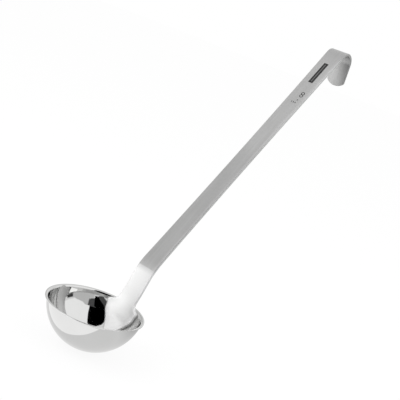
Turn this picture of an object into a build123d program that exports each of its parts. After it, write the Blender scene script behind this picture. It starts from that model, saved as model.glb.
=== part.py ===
from build123d import *

import math
import os

os.makedirs("parts", exist_ok=True)

# Soup ladle, in millimetres and degrees.
# The origin is the centre of the bowl's rim, on the plane of its top edge.
# +Z is up with the bowl level, and the handle leaves towards +X.

# Bowl: a spherical cap pressed from sheet, its edge turned out into a pouring lip
bowl_radius = 40.0
bowl_centre_rise = 3.7
bowl_wall = 1.0
lip_bend_radius = 1.2
lip_flat = 0.7
lip_edge_round = 0.35

# Handle: one strap that runs from the foot in the bowl, up the neck and grip, to the hook
strap_thickness = 2.4
neck_width = 18.3
neck_lean = 18.5
neck_length = 35.3
neck_bend_radius = 46.0
grip_waist_width = 16.6
grip_top_width = 18.9
grip_lean = 38.5
grip_length = 276.3
hook_inner_radius = 8.6
hook_turn = 138.0
hook_leg_length = 22.3
leg_end_radius = 13.0
leg_corner_radius = 2.5

# Foot of the handle: the flared root that follows the inner wall of the bowl
foot_shoulder_width = 33.8
foot_shoulder_drop = 1.2
foot_corner_radius = 3.0
foot_knee_width = 28.8
foot_knee_drop = 11.0
foot_knee_radius = 12.0
foot_tip_width = 7.0
foot_depth = 25.5
foot_tip_radius = 5.0
flare_radius = 5.5
flare_rise = 0.3
flattening_height = 16.0

# Spot welds that join the foot to the wall
weld_radius = 2.2
weld_thickness = 1.1
weld_upper_drop = 6.5
weld_upper_spread = 8.0
weld_lower_drop = 15.0

# How far a cutting shape or a blank runs past what it shapes
overrun = 3.0

# Shares of the flattening height where the root has a section, and how much curve each keeps
root_height_shares = [0.2, 0.45, 1.0]
root_curve_shares = [0.8, 0.35, 0.0]

# Radii of the bowl and of the foot's front face, about the bowl's centre
inner_radius = bowl_radius - bowl_wall
foot_front_radius = inner_radius - strap_thickness
foot_blank_radius = inner_radius + bowl_wall / 2

# The lip's bend, which touches the wall on both of its faces
lip_top_radius = lip_bend_radius + bowl_wall
lip_sine = (bowl_centre_rise + lip_top_radius) / (bowl_radius + lip_bend_radius)
lip_angle = math.degrees(math.asin(lip_sine))
lip_centre_x = (bowl_radius + lip_bend_radius) * math.cos(math.radians(lip_angle))
rim_radius = lip_centre_x + lip_flat


def leaning(angle):
    """Unit direction in the XZ plane that leans from straight up towards +X."""
    return Vector(math.sin(math.radians(angle)), 0, math.cos(math.radians(angle)))


def sphere_x(radius, height, across=0.0):
    """X of the point on a sphere about the bowl's centre, at a height and a distance across."""
    return math.sqrt(radius**2 - (bowl_centre_rise - height) ** 2 - across**2)


# The middle line of the strap, as the corners that its bends round off
grip_along = leaning(grip_lean)
grip_behind = leaning(grip_lean + 90)
leg_along = leaning(grip_lean + hook_turn)
leg_behind = leaning(grip_lean + hook_turn + 90)
hook_mid_radius = hook_inner_radius + strap_thickness / 2
hook_tangent = hook_mid_radius * math.tan(math.radians(hook_turn / 2))
root_x = sphere_x(inner_radius - strap_thickness / 2, 0)
root_point = Vector(root_x, 0, 0)
bend_corner = root_point + leaning(neck_lean) * neck_length
hook_start = bend_corner + grip_along * grip_length
hook_corner = hook_start + grip_along * hook_tangent
leg_start = hook_corner + leg_along * hook_tangent
leg_tip = leg_start + leg_along * hook_leg_length

# Spot welds, each a short disc set half into the wall and half into the foot
weld_places = [
    (weld_upper_drop, weld_upper_spread),
    (weld_upper_drop, -weld_upper_spread),
    (weld_lower_drop, 0.0),
]
with BuildPart() as spot_welds:
    for drop, across in weld_places:
        weld_point = Vector(sphere_x(inner_radius, -drop, across), across, -drop)
        weld_normal = weld_point - Vector(0, 0, bowl_centre_rise)
        with BuildSketch(Plane(origin=weld_point, z_dir=weld_normal)):
            Circle(weld_radius)
        extrude(amount=weld_thickness / 2, both=True)

# Bowl, without the seats of its welds
with BuildPart() as plain_bowl:
    with BuildSketch(Plane.XZ):
        with BuildLine():
            outer_wall = CenterArc((0, bowl_centre_rise), bowl_radius, -90, 90 - lip_angle)
            lip_centre = (lip_centre_x, -lip_top_radius)
            lip_under = CenterArc(lip_centre, lip_bend_radius, 180 - lip_angle, lip_angle - 90)
            lip_top = CenterArc(lip_centre, lip_top_radius, 90, 90 - lip_angle)
            inner_wall = CenterArc((0, bowl_centre_rise), inner_radius, -lip_angle, lip_angle - 90)
            Polyline(lip_under @ 1, (rim_radius, -bowl_wall), (rim_radius, 0), lip_top @ 0)
            Line(inner_wall @ 1, outer_wall @ 0)
        make_face()
    revolve(axis=Axis.Z)
    rim_edges = plain_bowl.edges().filter_by(GeomType.CIRCLE).group_by(lambda edge: edge.radius)[-1]
    fillet(rim_edges, lip_edge_round)

# Bowl
with BuildPart() as bowl:
    add(plain_bowl.part)
    add(spot_welds.part, mode=Mode.SUBTRACT)

# Blank of the foot below the rim, a shell that follows the wall
with BuildPart() as foot_shell:
    with BuildSketch(Plane.XZ):
        with BuildLine():
            front_angle = math.degrees(math.asin(bowl_centre_rise / foot_front_radius))
            back_angle = math.degrees(math.asin(bowl_centre_rise / foot_blank_radius))
            shell_front = CenterArc((0, bowl_centre_rise), foot_front_radius, -90, 90 - front_angle)
            shell_back = CenterArc((0, bowl_centre_rise), foot_blank_radius, -90, 90 - back_angle)
            Line(shell_front @ 0, shell_back @ 0)
            Line(shell_front @ 1, shell_back @ 1)
        make_face()
    revolve(axis=Axis.Z)

# Blank of the root above it: curved like the wall at the rim, flat where the neck begins
half_blank = foot_shoulder_width / 2 + overrun
neck_slope = math.tan(math.radians(neck_lean))
half_neck_cut = strap_thickness / 2 / math.cos(math.radians(neck_lean))
rim_front_x = sphere_x(foot_front_radius, 0)
rim_back_x = sphere_x(foot_blank_radius, 0)
front_rim_sag = rim_front_x - sphere_x(foot_front_radius, 0, half_blank)
back_rim_sag = rim_back_x - sphere_x(foot_blank_radius, 0, half_blank)


def strip(height, front_x, back_x, front_sag, back_sag):
    """Level section of the blank; its faces stand back by their sag at both sides."""
    with BuildSketch(Plane.XY.offset(height)) as section:
        with BuildLine():
            if front_sag > 0:
                front = ThreePointArc(
                    (front_x - front_sag, -half_blank), (front_x, 0), (front_x - front_sag, half_blank)
                )
                back = ThreePointArc(
                    (back_x - back_sag, -half_blank), (back_x, 0), (back_x - back_sag, half_blank)
                )
            else:
                front = Line((front_x, -half_blank), (front_x, half_blank))
                back = Line((back_x, -half_blank), (back_x, half_blank))
            Line(front @ 0, back @ 0)
            Line(front @ 1, back @ 1)
        make_face()
    return section.sketch


def root_strip(height, curve_share):
    """Section that leans with the neck and keeps a share of the wall's curve."""
    middle_x = root_x + height * neck_slope
    sag = curve_share * front_rim_sag
    return strip(height, middle_x - half_neck_cut, middle_x + half_neck_cut, sag, sag)


root_sections = [strip(0, rim_front_x, rim_back_x, front_rim_sag, back_rim_sag)]
for height_share, curve_share in zip(root_height_shares, root_curve_shares):
    root_sections.append(root_strip(height_share * flattening_height, curve_share))

with BuildPart() as foot_blank:
    add(foot_shell.part)
    loft(sections=root_sections)

# Outline of neck, flared shoulders and rounded tip, seen along the handle's X direction
with BuildPart() as foot_outline:
    with BuildSketch(Plane.YZ):
        with BuildLine():
            edge = FilletPolyline(
                (neck_width / 2, flattening_height),
                (neck_width / 2, flare_rise),
                (foot_shoulder_width / 2, -foot_shoulder_drop),
                (foot_knee_width / 2, -foot_knee_drop),
                (foot_tip_width / 2, -foot_depth),
                (-foot_tip_width / 2, -foot_depth),
                (-foot_knee_width / 2, -foot_knee_drop),
                (-foot_shoulder_width / 2, -foot_shoulder_drop),
                (-neck_width / 2, flare_rise),
                (-neck_width / 2, flattening_height),
                radius=[
                    flare_radius,
                    foot_corner_radius,
                    foot_knee_radius,
                    foot_tip_radius,
                    foot_tip_radius,
                    foot_knee_radius,
                    foot_corner_radius,
                    flare_radius,
                ],
            )
            Line(edge @ 0, edge @ 1)
        make_face()
    extrude(amount=bowl_radius + bend_corner.X)

# Strap above the root: its bends, then the outline of its sides, then its rounded end
with BuildPart() as strap:
    with BuildSketch(Plane.XZ):
        with BuildLine():
            FilletPolyline(
                (root_point.X, root_point.Z),
                (bend_corner.X, bend_corner.Z),
                (hook_corner.X, hook_corner.Z),
                (leg_tip.X, leg_tip.Z),
                radius=[neck_bend_radius, hook_mid_radius],
            )
        trace(line_width=strap_thickness)
    extrude(amount=half_blank, both=True)
    split(bisect_by=Plane.XY.offset(flattening_height), keep=Keep.TOP)
    with BuildSketch(Plane(origin=bend_corner, x_dir=grip_along, z_dir=grip_behind)):
        with BuildLine():
            below = -neck_length
            above = grip_length + hook_mid_radius + overrun
            left_neck = Line((below, neck_width / 2), (0, neck_width / 2))
            left_side = ThreePointArc(
                (0, neck_width / 2),
                (grip_length / 2, grip_waist_width / 2),
                (grip_length, grip_top_width / 2),
            )
            right_side = ThreePointArc(
                (0, -neck_width / 2),
                (grip_length / 2, -grip_waist_width / 2),
                (grip_length, -grip_top_width / 2),
            )
            Polyline(
                left_side @ 1,
                (above, grip_top_width / 2),
                (above, -grip_top_width / 2),
                right_side @ 1,
            )
            Polyline(left_neck @ 0, (below, -neck_width / 2), right_side @ 0)
        make_face()
    extrude(amount=hook_leg_length + 2 * hook_mid_radius + overrun, both=True, mode=Mode.INTERSECT)

# Rounded free end of the hook: what lies outside a circle that touches its tip
end_centre = leg_tip - leg_along * leg_end_radius
with BuildPart() as end_cutter:
    with BuildSketch(Plane(origin=end_centre, x_dir=(0, 1, 0), z_dir=leg_behind)):
        with Locations((0, (leg_end_radius + overrun) / 2)):
            Rectangle(grip_top_width + 2 * overrun, leg_end_radius + overrun)
        Circle(leg_end_radius, mode=Mode.SUBTRACT)
    extrude(amount=strap_thickness, both=True)

# Handle, trimmed by the wall and lip that it lies against
with BuildPart() as handle:
    add(foot_blank.part)
    add(foot_outline.part, mode=Mode.INTERSECT)
    add(plain_bowl.part, mode=Mode.SUBTRACT)
    add(strap.part)
    add(end_cutter.part, mode=Mode.SUBTRACT)
    leg_corner_reach = math.sqrt(leg_end_radius**2 - (grip_top_width / 2) ** 2)
    leg_corners = []
    for side in (-1, 1):
        leg_corner = end_centre + leg_along * leg_corner_reach + Vector(0, side * grip_top_width / 2, 0)
        leg_corners.append(handle.edges().sort_by_distance(leg_corner)[0])
    fillet(leg_corners, leg_corner_radius)
    add(spot_welds.part, mode=Mode.SUBTRACT)

bowl.part.label = "bowl"
handle.part.label = "handle"
spot_welds.part.label = "spot_welds"
for piece in (bowl, handle, spot_welds):
    export_step(piece.part, f"parts/{piece.part.label}.step")
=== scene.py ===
import math

import bpy
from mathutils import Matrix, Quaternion, Vector


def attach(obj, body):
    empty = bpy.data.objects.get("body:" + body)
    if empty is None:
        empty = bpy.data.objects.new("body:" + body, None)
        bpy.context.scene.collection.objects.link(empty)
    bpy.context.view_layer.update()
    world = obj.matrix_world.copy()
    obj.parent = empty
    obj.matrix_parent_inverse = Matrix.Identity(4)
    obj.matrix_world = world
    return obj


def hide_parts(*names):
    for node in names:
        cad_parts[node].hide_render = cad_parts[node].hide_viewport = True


# Soup ladle dressed over its CAD frame.
# Named sizes are in millimetres and degrees, as in the part's source; meshes are in metres.
MM = 0.001

# Bowl
bowl_radius = 40.0
bowl_centre_rise = 3.7
bowl_wall = 1.0
lip_bend_radius = 1.2
lip_flat = 0.7
lip_edge_round = 0.35

# Handle
strap_thickness = 2.4
strap_edge_round = 0.5
neck_width = 18.3
neck_lean = 18.5
neck_length = 35.3
neck_bend_radius = 46.0
grip_waist_width = 16.6
grip_top_width = 18.9
grip_lean = 38.5
grip_length = 276.3
hook_inner_radius = 8.6
hook_turn = 138.0
hook_leg_length = 22.3
leg_end_radius = 13.0
leg_corner_radius = 2.5

# Foot of the handle
foot_shoulder_width = 33.8
foot_shoulder_drop = 1.2
foot_corner_radius = 3.0
foot_knee_width = 28.8
foot_knee_drop = 11.0
foot_knee_radius = 12.0
foot_tip_width = 7.0
foot_depth = 25.5
foot_tip_radius = 5.0
flare_radius = 5.5
flare_rise = 0.3
foot_lean = 17.0
foot_heel_radius = 17.0
flattening_height = 16.0
foot_edge_round = 1.6
foot_round_fade = 6.0
curve_fade_height = 14.0

# Finish of the handle, and the light and shade painted on it: where they change along the strap, and across
# it
blasted_end_drop = 0.8
blasted_fade = 4.5
# Height about the rim over which the painted shade on the blasted steel grows from the foot's small share
# to its full strength on the neck
painted_shade_fade = 8.0
# Painted light on the grip: lighter over its upper part and towards its right edge, falling off before the
# hook
painted_light_rise = (110.0, 165.0)
painted_light_fall = (255.0, 276.0)
painted_light_gain = 0.14
painted_light_edge = (-5.5, -9.5)
painted_light_edge_gain = 0.28
# Painted shade on the hook's leg, darker towards its right side
leg_shade_run = (286.0, 300.0)
leg_shade_edge = (4.0, -8.0)
leg_shade = -0.26

# How finely the meshes are divided
bowl_segments = 288
wall_steps = 64
lip_under_steps = 8
lip_edge_steps = 5
lip_top_steps = 10
strap_columns = 28
round_steps = 6
tip_steps = 20
knee_steps = 16
shoulder_steps = 16
flare_steps = 20
straight_steps = 12
shoulder_flat_steps = 5
run_steps = (6, 28, 150, 56, 12)
leg_corner_steps = 10

# Distance over which the slopes of the strap's surface are measured
slope_step = 0.02

# Camera: place, aim and near limit in metres, roll in degrees, lens and sensor in millimetres
camera_place = Vector((-0.52466, -0.41795, 0.25078))
camera_aim = Vector((0.09381, 0.00337, 0.09457))
camera_roll = 19.787
camera_lens = 79.2
camera_sensor = 36.0
camera_clip_start = 0.01

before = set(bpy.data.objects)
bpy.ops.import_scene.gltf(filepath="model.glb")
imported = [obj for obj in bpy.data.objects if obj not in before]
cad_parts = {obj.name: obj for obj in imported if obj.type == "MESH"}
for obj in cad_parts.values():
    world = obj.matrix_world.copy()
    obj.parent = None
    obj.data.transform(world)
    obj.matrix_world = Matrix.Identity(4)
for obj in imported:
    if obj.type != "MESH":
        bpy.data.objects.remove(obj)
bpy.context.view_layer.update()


def sphere_x(radius, height, across=0.0):
    """X of the point on a sphere about the bowl's centre, at a height and a distance across."""
    return math.sqrt(radius**2 - (bowl_centre_rise - height) ** 2 - across**2)


def leaning(angle):
    """Unit direction in the XZ plane that leans from straight up towards +X."""
    return Vector((math.sin(math.radians(angle)), 0, math.cos(math.radians(angle))))


def smooth_step(value):
    """0 below 0, 1 above 1, and smooth in between."""
    value = min(max(value, 0.0), 1.0)
    return value * value * (3 - 2 * value)


def build_mesh(name, points, faces, normals, face_materials=None, coordinates=None):
    """Mesh object with points in millimetres, given normals and, if named, a UV map."""
    mesh = bpy.data.meshes.new(name)
    mesh.from_pydata([Vector(point) * MM for point in points], [], faces)
    mesh.update()
    mesh.polygons.foreach_set("use_smooth", [True] * len(mesh.polygons))
    if face_materials:
        mesh.polygons.foreach_set("material_index", face_materials)
    if coordinates:
        layer = mesh.uv_layers.new(name="strap")
        for loop in mesh.loops:
            along, across = coordinates[loop.vertex_index]
            layer.data[loop.index].uv = (along * MM, across * MM)
    mesh.normals_split_custom_set_from_vertices([Vector(normal).normalized() for normal in normals])
    piece = bpy.data.objects.new(name, mesh)
    bpy.context.scene.collection.objects.link(piece)
    return piece


def arc(centre, radius, start, end, steps):
    """Points on an arc in a plane, each with its outward direction; angles in degrees."""
    points = []
    for step in range(steps + 1):
        angle = math.radians(start + (end - start) * step / steps)
        outward = (math.cos(angle), math.sin(angle))
        points.append((centre[0] + radius * outward[0], centre[1] + radius * outward[1], *outward))
    return points


# Bowl


def bowl_profile():
    """Section of the bowl from the outer pole round the lip to the inner pole, with its normals."""
    lip_top_radius = lip_bend_radius + bowl_wall
    lip_sine = (bowl_centre_rise + lip_top_radius) / (bowl_radius + lip_bend_radius)
    lip_angle = math.degrees(math.asin(lip_sine))
    lip_x = (bowl_radius + lip_bend_radius) * math.cos(math.radians(lip_angle))
    lip_centre = (lip_x, -lip_top_radius)
    edge_x = lip_x + lip_flat - lip_edge_round
    outer = arc((0, bowl_centre_rise), bowl_radius, -90, -lip_angle, wall_steps)
    under_arc = arc(lip_centre, lip_bend_radius, 180 - lip_angle, 90, lip_under_steps)
    under = [(x, z, -nx, -nz) for x, z, nx, nz in under_arc]
    low_edge = arc((edge_x, lip_edge_round - bowl_wall), lip_edge_round, -90, 0, lip_edge_steps)
    high_edge = arc((edge_x, -lip_edge_round), lip_edge_round, 0, 90, lip_edge_steps)
    top = arc(lip_centre, lip_top_radius, 90, 180 - lip_angle, lip_top_steps)
    inner_arc = arc((0, bowl_centre_rise), bowl_radius - bowl_wall, -lip_angle, -90, wall_steps)
    inner = [(x, z, -nx, -nz) for x, z, nx, nz in inner_arc]
    return outer + under[1:] + low_edge + high_edge + top + inner[1:]


def build_bowl():
    """The pressed bowl as one closed surface of revolution."""
    profile = bowl_profile()
    points = [(0, 0, profile[0][1])]
    normals = [(0, 0, -1)]
    rings = profile[1:-1]
    for x, z, nx, nz in rings:
        for segment in range(bowl_segments):
            angle = 2 * math.pi * segment / bowl_segments
            points.append((x * math.cos(angle), x * math.sin(angle), z))
            normals.append((nx * math.cos(angle), nx * math.sin(angle), nz))
    points.append((0, 0, profile[-1][1]))
    normals.append((0, 0, 1))
    last = len(points) - 1
    faces = []
    for segment in range(bowl_segments):
        after = (segment + 1) % bowl_segments
        faces.append((0, 1 + after, 1 + segment))
        for ring in range(len(rings) - 1):
            low = 1 + ring * bowl_segments
            high = low + bowl_segments
            faces.append((low + segment, low + after, high + after, high + segment))
        top = 1 + (len(rings) - 1) * bowl_segments
        faces.append((top + segment, top + after, last))
    return build_mesh("bowl_shell", points, faces, normals)


# Handle: its surface has a place for every distance across and every distance along

neck_along = leaning(neck_lean)
grip_along = leaning(grip_lean)
half_thickness = strap_thickness / 2
foot_mid_radius = bowl_radius - bowl_wall - half_thickness
foot_front_radius = foot_mid_radius - half_thickness
root_x = sphere_x(foot_mid_radius, 0)

# The foot leans straight down from the rim and turns, round its heel, into the wall's sphere
rim_lean = math.degrees(math.asin(bowl_centre_rise / foot_mid_radius))
chord_turn = math.radians(foot_lean - rim_lean)
heel_reach = math.sqrt(
    (foot_mid_radius - foot_heel_radius) ** 2
    - (foot_mid_radius * math.cos(chord_turn) - foot_heel_radius) ** 2
)
heel_turn = math.degrees(math.asin(heel_reach / (foot_mid_radius - foot_heel_radius)))
foot_straight = foot_mid_radius * math.sin(chord_turn) + heel_reach
heel_centre = (
    Vector((root_x, 0, 0)) - leaning(foot_lean) * foot_straight + leaning(foot_lean - 90) * foot_heel_radius
)
heel_top = -foot_straight * math.cos(math.radians(foot_lean)) + half_thickness * math.sin(
    math.radians(foot_lean)
)
heel_bottom = bowl_centre_rise - foot_front_radius * math.sin(math.radians(foot_lean + heel_turn))
bend_corner = Vector((root_x, 0, 0)) + neck_along * neck_length
neck_start_distance = (
    flattening_height - half_thickness * math.sin(math.radians(neck_lean))
) / math.cos(math.radians(neck_lean))
neck_bend_turn = grip_lean - neck_lean
neck_bend_tangent = neck_bend_radius * math.tan(math.radians(neck_bend_turn / 2))
hook_mid_radius = hook_inner_radius + half_thickness

# Runs of the middle line above the root: length, lean at the start and turn of each
runs = [
    (neck_length - neck_bend_tangent - neck_start_distance, neck_lean, 0.0),
    (neck_bend_radius * math.radians(neck_bend_turn), neck_lean, neck_bend_turn),
    (grip_length - neck_bend_tangent, grip_lean, 0.0),
    (hook_mid_radius * math.radians(hook_turn), grip_lean, hook_turn),
    (hook_leg_length, grip_lean + hook_turn, 0.0),
]
along_end = flattening_height + sum(run[0] for run in runs)
along_bend = flattening_height + runs[0][0] + runs[1][0] / 2
blasted_end = along_bend - blasted_end_drop


def middle_line(along):
    """Point and lean of the strap's middle line at a distance along it above the root."""
    point = Vector((root_x, 0, 0)) + neck_along * neck_start_distance
    left = along - flattening_height
    for index, (length, lean, turn) in enumerate(runs):
        part = left if index == len(runs) - 1 else min(left, length)
        if turn:
            radius = length / math.radians(turn)
            centre = point + leaning(lean + 90) * radius
            lean_here = lean + turn * part / length
            point = centre - leaning(lean_here + 90) * radius
        else:
            lean_here = lean
            point = point + leaning(lean) * part
        left -= part
        if left <= 0:
            break
    return point, lean_here


def foot_front(height):
    """Distance of the foot's front face from the bowl's axis, at a height below the rim."""
    if height >= heel_top:
        start = root_x - half_thickness / math.cos(math.radians(foot_lean))
        return start + height * math.tan(math.radians(foot_lean))
    if height >= heel_bottom:
        heel_front = foot_heel_radius - half_thickness
        return heel_centre.x + math.sqrt(heel_front**2 - (heel_centre.z - height) ** 2)
    return sphere_x(foot_front_radius, height)


def foot_x(across, height):
    """X of the foot's front face: flatter than the wall across, with its edges on the wall."""
    wall_x = sphere_x(foot_front_radius, height, across)
    stand_off = sphere_x(foot_front_radius, height) - foot_front(height)
    return wall_x - stand_off * (1 - (2 * across / foot_knee_width) ** 2)


def front_point(across, along):
    """Point of the strap's front face; below the root's top, along is the height."""
    if along > flattening_height:
        point, lean = middle_line(along)
        point = point - leaning(lean + 90) * half_thickness
        return Vector((point.x, across, point.z))
    if along <= 0:
        return Vector((foot_x(across, along), across, along))
    rim_x = foot_x(across, 0)
    rim_slope = (rim_x - foot_x(across, -slope_step)) / slope_step
    neck_slope = math.tan(math.radians(neck_lean))
    neck_front = root_x - half_thickness / math.cos(math.radians(neck_lean))
    share = min(along / curve_fade_height, 1)
    place_part = (rim_x - neck_front) * (2 * share**3 - 3 * share**2 + 1)
    slope_part = (rim_slope - neck_slope) * curve_fade_height * (share**3 - 2 * share**2 + share)
    return Vector((neck_front + neck_slope * along + place_part + slope_part, across, along))


def front_round(along):
    """Radius of the rounding along the front face's edges, larger on the foot."""
    foot_share = 1 - smooth_step((along + foot_shoulder_drop) / foot_round_fade)
    return strap_edge_round + (foot_edge_round - strap_edge_round) * foot_share


def surface(across, along):
    """Front point there, the direction into the strap, and the steps across and along."""
    right = front_point(across - slope_step, along)
    left = front_point(across + slope_step, along)
    below = front_point(across, along - slope_step)
    above = front_point(across, along + slope_step)
    step_across = (left - right).normalized()
    step_along = (above - below).normalized()
    inward = step_across.cross(step_along).normalized()
    return front_point(across, along), inward, step_across, step_along


def half_width(along):
    """Half the strap's width at a distance along it, above the root."""
    point, _ = middle_line(along)
    place = (point - bend_corner).dot(grip_along)
    if place <= 0:
        return neck_width / 2
    if place >= grip_length:
        return grip_top_width / 2
    share = place / grip_length
    straight = neck_width / 2 + (grip_top_width - neck_width) / 2 * share
    middle_gap = (neck_width + grip_top_width) / 4 - grip_waist_width / 2
    return straight - middle_gap * 4 * share * (1 - share)


def corner(before, at, after, radius, steps):
    """Rounded corner of an outline, as points with the outward direction on the right of travel."""
    before, at, after = Vector(before), Vector(at), Vector(after)
    arrive = (at - before).normalized()
    leave = (after - at).normalized()
    half_turn = arrive.angle(leave) / 2
    left_turn = arrive.x * leave.y - arrive.y * leave.x > 0
    side = Vector((-arrive.y, arrive.x)) if left_turn else Vector((arrive.y, -arrive.x))
    centre = at - arrive * radius * math.tan(half_turn) + side * radius
    points = []
    for index in range(steps + 1):
        turn = 2 * half_turn * index / steps
        turn = turn if left_turn else -turn
        spoke = -side
        turned = Vector(
            (
                spoke.x * math.cos(turn) - spoke.y * math.sin(turn),
                spoke.x * math.sin(turn) + spoke.y * math.cos(turn),
            )
        )
        place = centre + turned * radius
        outward = turned if left_turn else -turned
        points.append((place.x, place.y, outward.x, outward.y))
    return points


def between(first, last, steps):
    """Points strictly between two outline points on a straight stretch, with the first one's direction."""
    points = []
    for index in range(1, steps):
        share = index / steps
        points.append(
            (
                first[0] + (last[0] - first[0]) * share,
                first[1] + (last[1] - first[1]) * share,
                first[2],
                first[3],
            )
        )
    return points


def side_outline():
    """The strap's outline on its left, from the flat of the tip to the flat of the free end."""
    tip = (foot_tip_width / 2, -foot_depth)
    shoulder = (foot_shoulder_width / 2, -foot_shoulder_drop)
    flare = (neck_width / 2, flare_rise)
    neck_top = (neck_width / 2, flattening_height)
    knee = (foot_knee_width / 2, -foot_knee_drop)
    outline = corner((0, -foot_depth), tip, knee, foot_tip_radius, tip_steps)
    knee_points = corner(tip, knee, shoulder, foot_knee_radius, knee_steps)
    outline += between(outline[-1], knee_points[0], straight_steps) + knee_points
    shoulder_points = corner(knee, shoulder, flare, foot_corner_radius, shoulder_steps)
    outline += between(outline[-1], shoulder_points[0], straight_steps) + shoulder_points
    flare_points = corner(shoulder, flare, neck_top, flare_radius, flare_steps)
    outline += between(outline[-1], flare_points[0], shoulder_flat_steps) + flare_points
    outline += between(outline[-1], (*neck_top, 1.0, 0.0), straight_steps)
    end_half = half_width(along_end - leg_end_radius / 2)
    round_centre = along_end - leg_end_radius
    corner_reach = leg_end_radius - leg_corner_radius
    corner_across = end_half - leg_corner_radius
    corner_along = round_centre + math.sqrt(corner_reach**2 - corner_across**2)
    breaks = [flattening_height]
    for length, _, _ in runs:
        breaks.append(breaks[-1] + length)
    breaks[-1] = corner_along
    for start, end, steps in zip(breaks, breaks[1:], run_steps):
        for index in range(steps):
            along = start + (end - start) * index / steps
            outline.append((half_width(along), along, 1.0, 0.0))
    end_angle = math.degrees(math.asin(corner_across / corner_reach))
    outline += arc((corner_across, corner_along), leg_corner_radius, 0, 90 - end_angle, leg_corner_steps)
    end_row = []
    for index in range(strap_columns + 1):
        angle = math.radians(end_angle * (2 * index / strap_columns - 1))
        outward = (math.sin(angle), math.cos(angle))
        end_row.append((leg_end_radius * outward[0], round_centre + leg_end_radius * outward[1], *outward))
    return outline, end_row


def strap_border():
    """Number of rows in the strap's grid, and a function that gives the outline at its border."""
    outline, end_row = side_outline()
    rows = len(outline)
    tip_row = []
    for index in range(strap_columns + 1):
        share = 2 * index / strap_columns - 1
        tip_row.append((outline[0][0] * share, -foot_depth, 0.0, -1.0))

    def border(row, column):
        """Across and along at a border place of the grid, with the outward direction."""
        if row == 0:
            return tip_row[column]
        if row == rows - 1:
            return end_row[column]
        across, along, out_across, out_along = outline[row]
        side = 1 if column else -1
        return (side * across, along, side * out_across, out_along)

    return rows, border


def border_loop(rows):
    """Border places: along the tip, up the left side, along the free end and down the right side."""
    places = [(0, column) for column in range(strap_columns)]
    places += [(row, strap_columns) for row in range(rows - 1)]
    places += [(rows - 1, column) for column in range(strap_columns, 0, -1)]
    places += [(row, 0) for row in range(rows - 1, 0, -1)]
    return places


def add_point(surface_points, point, normal, along, across):
    """Adds a point with its normal and its place on the strap, and gives its number."""
    surface_points.append((point, normal, (along, across)))
    return len(surface_points) - 1


def grid_line(rows, border, row, edge_round):
    """Across and along of one row of a face's grid, which ends where the rounding begins."""
    if row in (0, rows - 1):
        line = []
        for column in range(strap_columns + 1):
            across, along, out_across, out_along = border(row, column)
            line.append((across - out_across * edge_round, along - out_along * edge_round))
        return line
    right = border(row, 0)
    left = border(row, strap_columns)
    low = right[0] - right[2] * edge_round
    high = left[0] - left[2] * edge_round
    along = right[1] - right[3] * edge_round
    shares = [column / strap_columns for column in range(strap_columns + 1)]
    return [(low + (high - low) * share, along) for share in shares]


def face_grid(surface_points, rows, border, front):
    """Points of the strap's front or back face, as rows of their numbers."""
    grid = []
    for row in range(rows):
        edge_round = front_round(border(row, 0)[1]) if front else strap_edge_round
        line = []
        for across, along in grid_line(rows, border, row, edge_round):
            point, inward, _, _ = surface(across, along)
            if front:
                number = add_point(surface_points, point, -inward, along, across)
            else:
                number = add_point(surface_points, point + inward * strap_thickness, inward, along, across)
            line.append(number)
        grid.append(line)
    return grid


def edge_ring(surface_points, loop_places, border, angle, front):
    """Points of one ring of the rounding, at an angle from its face, as their numbers."""
    turn = math.radians(angle)
    ring = []
    for row, column in loop_places:
        across, along, out_across, out_along = border(row, column)
        edge_round = front_round(along) if front else strap_edge_round
        inset = edge_round * (1 - math.sin(turn))
        depth = edge_round * (1 - math.cos(turn))
        point, inward, step_across, step_along = surface(
            across - out_across * inset, along - out_along * inset
        )
        travel = step_across * -out_along + step_along * out_across
        outward = travel.cross(inward).normalized()
        if outward.dot(step_across * out_across + step_along * out_along) < 0:
            outward = -outward
        if front:
            point = point + inward * depth
            normal = outward * math.sin(turn) - inward * math.cos(turn)
        else:
            point = point + inward * (strap_thickness - depth)
            normal = outward * math.sin(turn) + inward * math.cos(turn)
        ring.append(add_point(surface_points, point, normal, along, across))
    return ring


def grid_faces(grid, front):
    """Faces between the rows of a face's grid, turned outwards."""
    faces = []
    for low, high in zip(grid, grid[1:]):
        for column in range(strap_columns):
            corners = [low[column], low[column + 1], high[column + 1], high[column]]
            faces.append(corners[::-1] if front else corners)
    return faces


def ring_faces(rings):
    """Faces between the rings of the rounding, from the front face to the back face."""
    faces = []
    for near, far in zip(rings, rings[1:]):
        for index in range(len(near)):
            after = (index + 1) % len(near)
            faces.append([near[index], near[after], far[after], far[index]])
    return faces


def finish_at(corners, coordinates):
    """Finish of a face: 0, blasted, below the bend and 1, brushed, above it."""
    middle = sum(coordinates[corner][0] for corner in corners) / len(corners)
    return 1 if middle > blasted_end else 0


def build_handle():
    """The whole strap: front and back faces, and rounded sides all round."""
    rows, border = strap_border()
    loop_places = border_loop(rows)
    surface_points = []
    front_grid = face_grid(surface_points, rows, border, front=True)
    back_grid = face_grid(surface_points, rows, border, front=False)
    angles = [90 * step / round_steps for step in range(1, round_steps + 1)]
    rings = [[front_grid[row][column] for row, column in loop_places]]
    for angle in angles:
        rings.append(edge_ring(surface_points, loop_places, border, angle, front=True))
    for angle in reversed(angles):
        rings.append(edge_ring(surface_points, loop_places, border, angle, front=False))
    rings.append([back_grid[row][column] for row, column in loop_places])
    faces = grid_faces(front_grid, front=True) + grid_faces(back_grid, front=False) + ring_faces(rings)
    points, normals, coordinates = zip(*surface_points)
    face_materials = [finish_at(corners, coordinates) for corners in faces]
    return build_mesh("handle_strap", points, faces, normals, face_materials, coordinates)


# Marks on the grip: a plain printed bar, and small plain rings and ticks

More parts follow.
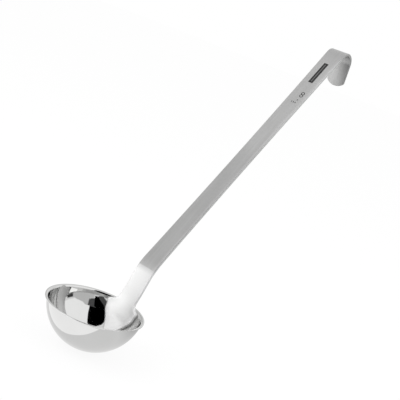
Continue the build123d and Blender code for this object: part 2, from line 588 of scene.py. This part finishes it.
bar_start = 235.0
bar_length = 26.8
bar_width = 4.8
bar_line_width = 0.9
bar_line_inset = 1.6
mark_rise = 0.03
ring_places = [(217.3, -2.6), (220.2, -2.6)]
ring_radius = 1.5
ring_line = 0.75
tick_places = [(208.0, -2.4), (208.0, -0.4), (208.0, 1.6), (211.5, -2.4)]
tick_length = 1.6
tick_width = 0.75
bar_grid = (4, 24)
ring_grid = (2, 32)
tick_grid = (2, 4)


def on_grip(across, place, rise):
    """Point over the grip's front face, at a distance from the neck's bend."""
    point, inward, _, _ = surface(across, along_bend + place)
    return point - inward * rise, -inward


def mark_patch(points, normals, faces, corner_at, grid):
    """Adds a grid of a mark to a mesh; corner_at gives across and place for two shares."""
    columns, rows = grid
    first = len(points)
    for row in range(rows + 1):
        for column in range(columns + 1):
            across, place = corner_at(column / columns, row / rows)
            point, normal = on_grip(across, place, mark_rise)
            points.append(point)
            normals.append(normal)
    for row in range(rows):
        for column in range(columns):
            low = first + row * (columns + 1) + column
            faces.append((low, low + columns + 1, low + columns + 2, low + 1))


def build_bar(name, width, inset, layer):
    """Printed bar that follows the grip's face; each layer lies a mark's rise over the last."""
    points, normals, faces = [], [], []

    def corner_at(share_across, share_along):
        """Across and place on the bar."""
        return (
            (share_across - 0.5) * width,
            bar_start + inset + (bar_length - 2 * inset) * share_along,
        )

    mark_patch(points, normals, faces, corner_at, bar_grid)
    points = [point + normal * mark_rise * layer for point, normal in zip(points, normals)]
    return build_mesh(name, points, faces, normals)


def ring_line_at(place, across):
    """Function that gives across and place on a ring's line for two shares."""

    def corner_at(share_across, share_along):
        """Across and place on the ring's line."""
        angle = 2 * math.pi * share_along
        radius = ring_radius + (share_across - 0.5) * ring_line
        return across + radius * math.cos(angle), place + radius * math.sin(angle)

    return corner_at


def tick_at(place, across):
    """Function that gives across and place on a tick for two shares."""

    def corner_at(share_across, share_along):
        """Across and place on the tick."""
        return across + (share_across - 0.5) * tick_width, place + (share_along - 0.5) * tick_length

    return corner_at


def build_small_marks():
    """Two rings and a few ticks."""
    points, normals, faces = [], [], []
    for place, across in ring_places:
        mark_patch(points, normals, faces, ring_line_at(place, across), ring_grid)
    for place, across in tick_places:
        mark_patch(points, normals, faces, tick_at(place, across), tick_grid)
    return build_mesh("small_marks", points, faces, normals)


# Materials

# Most of a noise's values lie between these two
noise_reach = (0.3, 0.7)

# Stretch of the hairlines in the bowl, and of the streaks and bands along the brushed grip
hairline_stretch = (0.15, 1.0, 1.0)
streak_stretch = (30.0, 3500.0, 1.0)
band_stretch = (18.0, 260.0, 1.0)

# Blasted steel: its level at the right and at the left, a painted shade darker on the neck's right side,
# the share of this painted shade that the foot's lower part keeps, and its level where the brushed grip
# begins
painted_shade_levels = (0.68, 0.97)
least_painted_shade = 0.1
blasted_end_level = 0.62

# Brushed steel: what the bands add to the streaks, and the streaks' values that get full tones
band_levels = (-0.25, 0.25)
streak_reach = (0.25, 0.75)

brushed_roughness = (0.34, 0.44)
print_roughness = (0.45, 0.6)


def new_material(name):
    """Node material, with its node tree and its shader."""
    material = bpy.data.materials.new(name)
    material.use_nodes = True
    tree = material.node_tree
    shader = tree.nodes["Principled BSDF"]
    return material, tree, shader


def make_node(tree, kind, **values):
    """Node with its sockets or properties set by name."""
    made = tree.nodes.new(kind)
    for key, value in values.items():
        socket = key.replace("_", " ").title()
        if socket in made.inputs:
            made.inputs[socket].default_value = value
        else:
            setattr(made, key, value)
    return made


def mapped(tree, source, scale):
    """Coordinates from a source socket, stretched by a scale."""
    mapping = tree.nodes.new("ShaderNodeMapping")
    mapping.inputs["Scale"].default_value = scale
    tree.links.new(source, mapping.inputs["Vector"])
    return mapping.outputs["Vector"]


def ranged(tree, source, low, high, to_low, to_high):
    """Value moved from one range to another."""
    remap = tree.nodes.new("ShaderNodeMapRange")
    remap.inputs["From Min"].default_value = low
    remap.inputs["From Max"].default_value = high
    remap.inputs["To Min"].default_value = to_low
    remap.inputs["To Max"].default_value = to_high
    tree.links.new(source, remap.inputs["Value"])
    return remap.outputs["Result"]


def add_noise(tree, place, scale, detail):
    """Noise over the given coordinates."""
    noise = make_node(tree, "ShaderNodeTexNoise", scale=scale, detail=detail)
    tree.links.new(place, noise.inputs["Vector"])
    return noise.outputs["Fac"]


def plug(tree, socket, value):
    """Links a socket to a source, or sets it to a number or to red, green and blue."""
    if isinstance(value, bpy.types.NodeSocket):
        tree.links.new(value, socket)
    elif isinstance(value, tuple):
        socket.default_value = (*value, 1)
    else:
        socket.default_value = value


def add_mix(tree, share, low, high, blend="MIX"):
    """Blend of two colours; share, low and high may each be a source or a value."""
    mix = tree.nodes.new("ShaderNodeMix")
    mix.data_type = "RGBA"
    mix.blend_type = blend
    for name, value in (("Factor", share), ("A", low), ("B", high)):
        plug(tree, mix.inputs[name], value)
    return mix.outputs["Result"]


def add_math(tree, operation, *values):
    """Result of a sum on values, each of which may be a source or a number."""
    made = tree.nodes.new("ShaderNodeMath")
    made.operation = operation
    for socket, value in zip(made.inputs, values):
        plug(tree, socket, value)
    return made.outputs[0]


def add_bump(tree, height, strength, distance):
    """Bump from a height, to be linked to the shader's normal."""
    bump = make_node(tree, "ShaderNodeBump", strength=strength, distance=distance)
    tree.links.new(height, bump.inputs["Height"])
    return bump


def polished_steel(name, tone, roughness, waviness):
    """Mirror-polished steel: faint buffing haze, fine hairlines and the press's slight waves."""
    material, tree, shader = new_material(name)
    shader.inputs["Metallic"].default_value = 1.0
    place = tree.nodes.new("ShaderNodeTexCoord").outputs["Object"]
    haze = add_noise(tree, place, scale=60.0, detail=4.0)
    hazed = ranged(tree, haze, *noise_reach, roughness * 0.8, roughness * 1.3)
    tree.links.new(hazed, shader.inputs["Roughness"])
    clean = (tone, tone, tone * 0.995)
    dulled = (tone * 0.95, tone * 0.95, tone * 0.94)
    tree.links.new(add_mix(tree, haze, clean, dulled), shader.inputs["Base Color"])
    waves = add_noise(tree, place, scale=45.0, detail=1.0)
    hairlines = add_noise(tree, mapped(tree, place, hairline_stretch), scale=900.0, detail=2.0)
    soft = add_bump(tree, waves, strength=waviness, distance=0.001)
    fine = add_bump(tree, hairlines, strength=0.02, distance=0.0001)
    tree.links.new(soft.outputs["Normal"], fine.inputs["Normal"])
    tree.links.new(fine.outputs["Normal"], shader.inputs["Normal"])
    return material


def bead_blasted_steel(name, tone, roughness, metal_share):
    """Pale blasted steel of neck and foot, which darkens to satin where the brushed grip begins; painted
    shade darkens its right side, with little of it on the foot's lower part.
    """
    material, tree, shader = new_material(name)
    shader.inputs["Metallic"].default_value = metal_share
    place = tree.nodes.new("ShaderNodeTexCoord").outputs["Object"]
    strap_place = make_node(tree, "ShaderNodeUVMap", uv_map="strap").outputs["UV"]
    split = tree.nodes.new("ShaderNodeSeparateXYZ")
    tree.links.new(strap_place, split.inputs["Vector"])
    grain = add_noise(tree, place, scale=700.0, detail=4.0)
    haze = add_noise(tree, place, scale=60.0, detail=3.0)
    hazed = ranged(tree, haze, *noise_reach, roughness * 0.9, roughness * 1.1)
    tree.links.new(hazed, shader.inputs["Roughness"])
    dark_grain = (tone * 0.97, tone * 0.97, tone * 0.965)
    light_grain = (tone * 1.03, tone * 1.03, tone * 1.03)
    fresh = add_mix(tree, grain, dark_grain, light_grain)
    # Painted shade: darker towards the strap's right side, mostly left off the foot's lower part
    painted_shade_along = ranged(tree, split.outputs["X"], -painted_shade_fade * MM, painted_shade_fade * MM, least_painted_shade, 1.0)
    painted_shade_half_width = foot_knee_width / 2 * MM
    painted_shade_across = ranged(tree, split.outputs["Y"], -painted_shade_half_width, painted_shade_half_width, *painted_shade_levels)
    blast_with_painted_shade = add_mix(tree, painted_shade_along, fresh, painted_shade_across, blend="MULTIPLY")
    start = (blasted_end - blasted_fade) * MM
    fade = ranged(tree, split.outputs["X"], start, blasted_end * MM, 0.0, 1.0)
    satin_tone = tone * blasted_end_level
    faded = add_mix(tree, fade, blast_with_painted_shade, (satin_tone, satin_tone, satin_tone))
    tree.links.new(faded, shader.inputs["Base Color"])
    bump = add_bump(tree, grain, strength=0.05, distance=0.0001)
    tree.links.new(bump.outputs["Normal"], shader.inputs["Normal"])
    return material


def painted_grip_light(tree, place):
    """Painted light and shade on the brushed steel: lighter on the upper grip and its right edge, darker on
    the leg's.
    """
    split = tree.nodes.new("ShaderNodeSeparateXYZ")
    tree.links.new(place, split.inputs["Vector"])

    def along_run(run, low, high):
        """Value that changes over a run along the grip."""
        start, end = ((along_bend + value) * MM for value in run)
        return ranged(tree, split.outputs["X"], start, end, low, high)

    def across_run(run, low, high):
        """Value that changes over a run across the grip."""
        start, end = (value * MM for value in run)
        return ranged(tree, split.outputs["Y"], start, end, low, high)

    painted_edge_light = across_run(painted_light_edge, 0.0, painted_light_edge_gain)
    lighter = add_math(tree, "ADD", along_run(painted_light_rise, 0.0, painted_light_gain), painted_edge_light)
    edge_shade = across_run(leg_shade_edge, 0.0, 1.0)
    shaded = add_math(tree, "MULTIPLY_ADD", along_run(leg_shade_run, 0.0, leg_shade), edge_shade, 1.0)
    return add_math(tree, "MULTIPLY_ADD", lighter, along_run(painted_light_fall, 1.0, 0.0), shaded)


def brushed_steel(name, tone):
    """Satin steel, brushed lengthwise: streaks in tone, roughness and height, soft handling marks, and
    painted light and shade on the grip.
    """
    material, tree, shader = new_material(name)
    shader.inputs["Metallic"].default_value = 1.0
    place = make_node(tree, "ShaderNodeUVMap", uv_map="strap").outputs["UV"]
    streaks = make_node(tree, "ShaderNodeTexNoise", scale=1.0, detail=6.0, roughness=0.7)
    tree.links.new(mapped(tree, place, streak_stretch), streaks.inputs["Vector"])
    broad = add_noise(tree, mapped(tree, place, band_stretch), scale=1.0, detail=3.0)
    patches = add_noise(tree, place, scale=35.0, detail=3.0)
    bands = ranged(tree, broad, 0.0, 1.0, *band_levels)
    streaked = add_math(tree, "ADD", streaks.outputs["Fac"], bands)
    dark_streak = (tone * 0.87, tone * 0.87, tone * 0.86)
    light_streak = (tone * 1.08, tone * 1.08, tone * 1.08)
    tint = add_mix(tree, ranged(tree, streaked, *streak_reach, 0.0, 1.0), dark_streak, light_streak)
    # Painted light and shade scale the streaked tone
    tint_with_painted_light = add_mix(tree, 1.0, tint, painted_grip_light(tree, place), blend="MULTIPLY")
    tree.links.new(tint_with_painted_light, shader.inputs["Base Color"])
    tree.links.new(ranged(tree, patches, *noise_reach, *brushed_roughness), shader.inputs["Roughness"])
    bump = add_bump(tree, streaks.outputs["Fac"], strength=0.15, distance=0.00005)
    tree.links.new(bump.outputs["Normal"], shader.inputs["Normal"])
    return material


def weld_steel():
    """Fused steel of the spot welds: dull, with a fine grain."""
    material, tree, shader = new_material("weld_steel")
    shader.inputs["Metallic"].default_value = 1.0
    place = tree.nodes.new("ShaderNodeTexCoord").outputs["Object"]
    grain = add_noise(tree, place, scale=1500.0, detail=4.0)
    dark_metal = (0.32, 0.31, 0.3)
    light_metal = (0.5, 0.49, 0.48)
    tree.links.new(add_mix(tree, grain, dark_metal, light_metal), shader.inputs["Base Color"])
    shader.inputs["Roughness"].default_value = 0.5
    bump = add_bump(tree, grain, strength=0.3, distance=0.0001)
    tree.links.new(bump.outputs["Normal"], shader.inputs["Normal"])
    return material


def dark_print(name, low, high):
    """Matt printing ink or etching, slightly rubbed and uneven."""
    material, tree, shader = new_material(name)
    place = tree.nodes.new("ShaderNodeTexCoord").outputs["Object"]
    wear = add_noise(tree, place, scale=900.0, detail=3.0)
    tint = add_mix(tree, wear, (low, low, low), (high, high, high))
    tree.links.new(tint, shader.inputs["Base Color"])
    tree.links.new(ranged(tree, wear, *noise_reach, *print_roughness), shader.inputs["Roughness"])
    shader.inputs["Specular IOR Level"].default_value = 0.3
    return material


# Pieces in place of the CAD nodes

polished_bowl = polished_steel("polished_bowl_steel", tone=0.62, roughness=0.05, waviness=0.02)
blasted_neck = bead_blasted_steel("blasted_neck_steel", tone=0.83, roughness=0.36, metal_share=0.38)
satin = brushed_steel("satin_steel", tone=0.44)

bowl_shell = build_bowl()
bowl_shell.data.materials.append(polished_bowl)
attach(bowl_shell, "root")
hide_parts("bowl")

handle_strap = build_handle()
handle_strap.data.materials.append(blasted_neck)
handle_strap.data.materials.append(satin)
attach(handle_strap, "root")
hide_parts("handle")

printed_bar = build_bar("printed_bar", bar_width, inset=0.0, layer=0)
printed_bar.data.materials.append(dark_print("black_print", low=0.012, high=0.02))
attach(printed_bar, "root")
bar_line = build_bar("bar_line", bar_line_width, inset=bar_line_inset, layer=1)
bar_line.data.materials.append(dark_print("grey_print", low=0.1, high=0.17))
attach(bar_line, "root")
small_marks = build_small_marks()
small_marks.data.materials.append(dark_print("etched_grey", low=0.02, high=0.05))
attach(small_marks, "root")

spot_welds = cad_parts["spot_welds"]
spot_welds.data.materials.clear()
spot_welds.data.materials.append(weld_steel())

# Stage: floor, reflectors, lamps, world and camera

floor_drop = bowl_radius - bowl_centre_rise

# Half the floor's side, in metres, as are the reflectors' distances and the lamps' places and sizes
floor_half = 6.0

floor_tone = 0.97
floor_glow = 0.88
world_light = 0.95
softbox_columns = 24
softbox_rows = 8


def stage_mesh(name, points, faces):
    """Mesh of the stage, with points in metres."""
    mesh = bpy.data.meshes.new(name)
    mesh.from_pydata(points, [], faces)
    piece = bpy.data.objects.new(name, mesh)
    bpy.context.scene.collection.objects.link(piece)
    return piece


def seen_rays(tree):
    """1 for camera, glossy and transmission rays, 0 for the others."""
    path = tree.nodes.new("ShaderNodeLightPath")
    seen = add_math(tree, "MAXIMUM", path.outputs["Is Camera Ray"], path.outputs["Is Glossy Ray"])
    return add_math(tree, "MAXIMUM", seen, path.outputs["Is Transmission Ray"])


def build_floor():
    """Pale floor that looks white and keeps a soft shadow."""
    level = -floor_drop * MM
    corners = [
        (-floor_half, -floor_half, level),
        (floor_half, -floor_half, level),
        (floor_half, floor_half, level),
        (-floor_half, floor_half, level),
    ]
    floor = stage_mesh("floor", corners, [(0, 1, 2, 3)])
    material, tree, shader = new_material("pale_floor")
    shader.inputs["Base Color"].default_value = (floor_tone, floor_tone, floor_tone, 1)
    shader.inputs["Roughness"].default_value = 0.9
    shader.inputs["Specular IOR Level"].default_value = 0.0
    glow = make_node(tree, "ShaderNodeEmission", strength=1.0)
    mix = tree.nodes.new("ShaderNodeMixShader")
    tree.links.new(add_math(tree, "MULTIPLY", seen_rays(tree), floor_glow), mix.inputs["Fac"])
    tree.links.new(shader.outputs["BSDF"], mix.inputs[1])
    tree.links.new(glow.outputs["Emission"], mix.inputs[2])
    tree.links.new(mix.outputs["Shader"], tree.nodes["Material Output"].inputs["Surface"])
    floor.data.materials.append(material)


def build_world():
    """White surroundings for what is seen, and a softer level for what lights."""
    world = bpy.data.worlds.new("studio")
    bpy.context.scene.world = world
    world.use_nodes = True
    tree = world.node_tree
    background = tree.nodes["Background"]
    background.inputs["Color"].default_value = (1, 1, 1, 1)
    level = ranged(tree, seen_rays(tree), 0.0, 1.0, world_light, 1.0)
    tree.links.new(level, background.inputs["Strength"])


def reflect_only(card, tone):
    """Gives a card an even tone and hides it from all but reflections."""
    material = bpy.data.materials.new(card.name)
    material.use_nodes = True
    tree = material.node_tree
    tree.nodes.remove(tree.nodes["Principled BSDF"])
    glow = make_node(tree, "ShaderNodeEmission", strength=1.0)
    glow.inputs["Color"].default_value = (tone, tone, tone, 1)
    tree.links.new(glow.outputs["Emission"], tree.nodes["Material Output"].inputs["Surface"])
    card.data.materials.append(material)
    card.visible_camera = False
    card.visible_diffuse = False
    card.visible_shadow = False
    card.visible_transmission = False


def direction(azimuth, elevation):
    """Unit direction from the bowl; azimuth 0 is the handle's side."""
    flat = math.cos(math.radians(elevation))
    return Vector(
        (
            flat * math.cos(math.radians(azimuth)),
            flat * math.sin(math.radians(azimuth)),
            math.sin(math.radians(elevation)),
        )
    )


def softbox(name, tone, distance, azimuths, elevations):
    """Curved reflector round the bowl, between two azimuths and two elevations."""
    line = softbox_columns + 1
    points = []
    for row in range(softbox_rows + 1):
        elevation = elevations[0] + (elevations[1] - elevations[0]) * row / softbox_rows
        for column in range(line):
            azimuth = azimuths[0] + (azimuths[1] - azimuths[0]) * column / softbox_columns
            points.append(direction(azimuth, elevation) * distance)
    faces = []
    for row in range(softbox_rows):
        for column in range(softbox_columns):
            first = row * line + column
            faces.append((first, first + 1, first + line + 1, first + line))
    reflect_only(stage_mesh(name, points, faces), tone)


def flag(name, tone, distance, corners):
    """Flat card whose corners lie in given directions from the bowl."""
    ways = [direction(azimuth, elevation) for azimuth, elevation in corners]
    middle = sum(ways, Vector()).normalized()
    points = [way * (distance / way.dot(middle)) for way in ways]
    reflect_only(stage_mesh(name, points, [tuple(range(len(points)))]), tone)


def floor_sheet(name, tone, rise, corners):
    """Sheet just over the floor, with its rise and corners in millimetres."""
    level = rise - floor_drop
    points = [(x * MM, y * MM, level * MM) for x, y in corners]
    sheet = stage_mesh(name, points, [tuple(range(len(points)))])
    reflect_only(sheet, tone)
    return sheet


def fade_sheet(sheet, start, end, start_tone, end_tone):
    """Fades a sheet's tone along X, between a start and an end in millimetres."""
    tree = sheet.data.materials[0].node_tree
    glow = next(node for node in tree.nodes if node.bl_idname == "ShaderNodeEmission")
    split = tree.nodes.new("ShaderNodeSeparateXYZ")
    tree.links.new(tree.nodes.new("ShaderNodeTexCoord").outputs["Object"], split.inputs["Vector"])
    level = ranged(tree, split.outputs["X"], start * MM, end * MM, start_tone, end_tone)
    tree.links.new(level, glow.inputs["Color"])


def soft_lamp(name, place, aim, size, power):
    """Large square lamp, which reflections don't see."""
    data = bpy.data.lights.new(name, "AREA")
    data.shape = "SQUARE"
    data.size = size
    data.energy = power
    lamp = bpy.data.objects.new(name, data)
    bpy.context.scene.collection.objects.link(lamp)
    lamp.location = place
    lamp.rotation_mode = "QUATERNION"
    lamp.rotation_quaternion = (Vector(aim) - Vector(place)).to_track_quat("-Z", "Y")
    lamp.visible_glossy = False


def build_camera():
    """Camera at the photograph's place, with its roll."""
    data = bpy.data.cameras.new("camera")
    data.lens = camera_lens
    data.sensor_width = camera_sensor
    data.clip_start = camera_clip_start
    camera = bpy.data.objects.new("camera", data)
    bpy.context.scene.collection.objects.link(camera)
    camera.location = camera_place
    camera.rotation_mode = "QUATERNION"
    level = (camera_aim - camera_place).to_track_quat("-Z", "Y")
    camera.rotation_quaternion = level @ Quaternion((0, 0, 1), math.radians(camera_roll))
    bpy.context.scene.camera = camera


# Corners of the flags, as azimuth and elevation in degrees; azimuth 0 is the handle's side
grey_wedge = [
    (-78, 12),
    (-86, 18.5),
    (-104, 25),
    (-111, 31),
    (-119, 32),
    (-121, 16),
    (-126, 12),
    (-100, 12),
]
black_flag = [
    (-125, 31),
    (-123, 50),
    (-119, 76),
    (-150, 82),
    (165, 74),
    (158, 60),
    (166, 44),
    (-177, 28),
]
dark_flag = [
    (-120, 16),
    (-119, 32),
    (-160, 32),
    (-171, 28),
    (-171, 12),
    (-152, 2),
    (-142, 4),
    (-134, 12),
]
core_flag = [
    (-133, 6),
    (-141, 6),
    (-150, 14),
    (-162, 21),
    (-172, 31),
    (-150, 35),
    (-137, 31),
    (-134, 15),
]

# Corners of the sheets over the floor, in millimetres; the light one ends on a curve under the bowl
light_sheet = [
    (-46, -110),
    (-39.5, -14),
    (-37, 3),
    (-35, 20),
    (-32, 44),
    (-26, 80),
    (-10, 500),
    (-600, 500),
    (-600, -500),
    (-60, -500),
]
grey_sheet = [(-60, 120), (-60, -250), (220, -250), (220, 120)]


def build_reflectors():
    """Soft boxes, flags and sheets that give the polished steel something to show."""
    softbox("side_softbox", tone=1.25, distance=1.4, azimuths=(-126, -12), elevations=(17, 82))
    softbox("front_softbox", tone=2.4, distance=0.8, azimuths=(150, 187), elevations=(-1, 24))
    softbox("front_fill", tone=1.4, distance=0.9, azimuths=(124, 150), elevations=(-2, 34))
    softbox("low_band", tone=0.72, distance=1.3, azimuths=(-131, -60), elevations=(-1, 14.5))
    softbox("low_dark", tone=0.1, distance=1.25, azimuths=(-60, -44), elevations=(-1, 10))
    softbox("low_grey", tone=0.06, distance=1.25, azimuths=(-76, -60), elevations=(1, 13))
    softbox("edge_grey", tone=0.55, distance=1.2, azimuths=(-43, -26), elevations=(2, 23))
    flag("grey_wedge", tone=0.72, distance=1.25, corners=grey_wedge)
    softbox("back_band", tone=0.78, distance=1.3, azimuths=(38, 108), elevations=(8, 38))
    flag("black_flag", tone=0.0, distance=1.1, corners=black_flag)
    flag("dark_flag", tone=0.09, distance=1.12, corners=dark_flag)
    flag("core_flag", tone=0.0, distance=1.1, corners=core_flag)
    floor_sheet("light_sheet", tone=1.3, rise=0.3, corners=light_sheet)
    faded_sheet = floor_sheet("grey_sheet", tone=0.93, rise=0.15, corners=grey_sheet)
    fade_sheet(faded_sheet, start=12, end=95, start_tone=0.93, end_tone=0.55)


build_floor()
build_world()
build_camera()
build_reflectors()
soft_lamp("key_lamp", place=(-0.9, 0.6, 0.9), aim=(0.05, 0, 0), size=1.0, power=5.0)
soft_lamp("fill_lamp", place=(0.2, -1.2, 0.9), aim=(0.05, 0, 0), size=1.0, power=3.0)

bpy.context.scene.view_settings.view_transform = "Standard"
